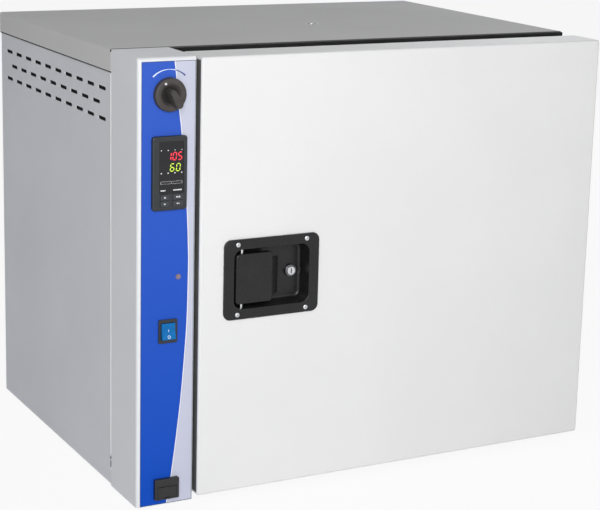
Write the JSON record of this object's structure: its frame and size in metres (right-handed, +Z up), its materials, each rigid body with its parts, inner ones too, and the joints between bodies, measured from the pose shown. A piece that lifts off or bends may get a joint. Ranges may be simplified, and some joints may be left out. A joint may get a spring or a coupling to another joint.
{
  "type": "laboratory oven",
  "caption": "Bench-top laboratory drying oven with a side control column, an insulated door with a flush paddle latch, and a fan-circulated chamber with wire shelves.",
  "frame": {"origin": "on the surface that the oven stands on, at the centre of its outline", "axes": "+Z up, +X to the right seen from the front, +Y towards the back"},
  "size_m": [0.712, 0.5692, 0.599],
  "materials": {
    "cabinet_paint": "fine textured powder coat, warm light grey",
    "side_paint": "fine textured powder coat, cool grey",
    "door_paint": "smooth powder coat, near white",
    "galvanised_sheet": "galvanised sheet, faint spangle",
    "chamber_steel": "brushed stainless sheet",
    "mineral_wool": "matt mineral wool slab",
    "heater_sheath": "dark oxidised sheath",
    "motor_body": "black satin paint",
    "bare_aluminium": "bare satin aluminium",
    "shelf_wire": "electropolished steel wire",
    "printed_film": "satin printed film",
    "bezel_plastic": "fine grained black plastic",
    "display_window": "glossy dark window",
    "key_rubber": "soft matt keys",
    "rocker_plastic": "glossy blue plastic",
    "lamp_lens": "clear domed lens",
    "knob_plastic": "fine grained dark plastic",
    "brass_bushing": "turned brass",
    "foot_rubber": "black rubber",
    "gasket_silicone": "grey silicone",
    "handle_coat": "black powder coat, satin",
    "hinge_steel": "satin zinc plated steel",
    "chrome_parts": "bright nickel plate"
  },
  "bodies": {
    "cabinet": {"top_cover": "cabinet_paint", "left_side_panel": "side_paint", "right_side_panel": "side_paint", "rear_panel": "side_paint", "base_panel": "galvanised_sheet", "front_panel": "side_paint", "front_frame": "chamber_steel", "chamber": "chamber_steel", "insulation_sleeve": "mineral_wool", "insulation_rear": "mineral_wool", "partition_panel": "galvanised_sheet", "fan_baffle": "chamber_steel", "ring_heater": "heater_sheath", "fan_motor": "motor_body", "shelf_rack_left": "chamber_steel", "shelf_rack_right": "chamber_steel", "chamber_probe": "chamber_steel", "air_duct": "galvanised_sheet", "vent_tube": "chamber_steel", "control_box": "cabinet_paint", "panel_overlay": "printed_film", "controller_case": "bezel_plastic", "controller_window": "display_window", "switch_housing": "bezel_plastic", "alarm_lamp": "lamp_lens", "port_housing": "bezel_plastic", "service_socket": "chrome_parts", "knob_bushing": "brass_bushing", "mains_inlet": "bezel_plastic", "power_relay": "bare_aluminium", "strike_plate": "chrome_parts", "rear_screws": "chrome_parts", "feet": "foot_rubber", "hinge_leaf_frame_upper": "hinge_steel", "hinge_leaf_frame_lower": "hinge_steel"},
    "door": {"door_skin": "door_paint", "door_liner": "chamber_steel", "door_insulation": "mineral_wool", "door_gasket": "gasket_silicone", "handle_dish": "handle_coat", "handle_screws": "chrome_parts", "hinge_leaf_door_upper": "hinge_steel", "hinge_leaf_door_lower": "hinge_steel", "hinge_pins": "chrome_parts", "paddle_pin": "chrome_parts", "lock_body": "chrome_parts"},
    "paddle": {"handle_paddle": "handle_coat"},
    "bolt": {"latch_bolt": "chrome_parts"},
    "plug": {"lock_plug": "chrome_parts"},
    "knob": {"air_knob": "knob_plastic", "air_flap": "chamber_steel"},
    "rocker": {"switch_rocker": "rocker_plastic"},
    "up_key": {"key_up": "key_rubber"},
    "down_key": {"key_down": "key_rubber"},
    "set_key": {"key_set": "key_rubber"},
    "enter_key": {"key_enter": "key_rubber"},
    "flap": {"port_flap": "bezel_plastic"},
    "impeller": {"fan_impeller": "bare_aluminium"},
    "high_shelf": {"upper_shelf": "shelf_wire"},
    "low_shelf": {"lower_shelf": "shelf_wire"}
  },
  "joints": [
    {"name": "door_swing", "type": "hinge", "parent": "cabinet", "child": "door", "pos_m": [0.344, -0.19995, 0.303], "axis": [0, 0, 1], "range_deg": [0, 115]},
    {"name": "paddle_pull", "type": "hinge", "parent": "door", "child": "paddle", "pos_m": [-0.2112, -0.26795, 0.303], "axis": [0, 0, -1], "range_deg": [0, 28], "stiffness_Nm_per_rad": 0.5},
    {"name": "bolt_draw", "type": "slide", "parent": "door", "child": "bolt", "axis": [1, 0, 0], "range_m": [0, 0.01]},
    {"name": "lock_turn", "type": "hinge", "parent": "door", "child": "plug", "pos_m": [-0.1315, -0.25725, 0.303], "axis": [0, 1, 0], "range_deg": [0, 90]},
    {"name": "air_knob_turn", "type": "hinge", "parent": "cabinet", "child": "knob", "pos_m": [-0.3137, -0.26195, 0.5517], "axis": [0, 1, 0], "range_deg": [-16, 72]},
    {"name": "rocker_tip", "type": "hinge", "parent": "cabinet", "child": "rocker", "pos_m": [-0.3137, -0.26445, 0.2417], "axis": [1, 0, 0], "range_deg": [0, 18]},
    {"name": "up_key_press", "type": "slide", "parent": "cabinet", "child": "up_key", "axis": [0, 1, 0], "range_m": [0, 0.0008], "stiffness_N_per_m": 1000},
    {"name": "down_key_press", "type": "slide", "parent": "cabinet", "child": "down_key", "axis": [0, 1, 0], "range_m": [0, 0.0008], "stiffness_N_per_m": 1000},
    {"name": "set_key_press", "type": "slide", "parent": "cabinet", "child": "set_key", "axis": [0, 1, 0], "range_m": [0, 0.0008], "stiffness_N_per_m": 1000},
    {"name": "enter_key_press", "type": "slide", "parent": "cabinet", "child": "enter_key", "axis": [0, 1, 0], "range_m": [0, 0.0008], "stiffness_N_per_m": 1000},
    {"name": "port_flap_lift", "type": "hinge", "parent": "cabinet", "child": "flap", "pos_m": [-0.3147, -0.26715, 0.0277], "axis": [-1, 0, 0], "range_deg": [0, 80]},
    {"name": "fan_spin", "type": "hinge", "parent": "cabinet", "child": "impeller", "pos_m": [-0.2108, 0.0297, 0.303], "axis": [1, 0, 0], "continuous": true},
    {"name": "high_shelf_slide", "type": "slide", "parent": "cabinet", "child": "high_shelf", "axis": [0, -1, 0], "range_m": [0, 0.18]},
    {"name": "low_shelf_slide", "type": "slide", "parent": "cabinet", "child": "low_shelf", "axis": [0, -1, 0], "range_m": [0, 0.18]}
  ],
  "couplings": [
    {"joint": "bolt_draw", "follows": "paddle_pull", "m_per_rad": 0.0204},
    {"joint": "high_shelf_slide", "follows": "door_swing", "m_per_rad": 0.0896},
    {"joint": "low_shelf_slide", "follows": "door_swing", "m_per_rad": 0.0896}
  ]
}
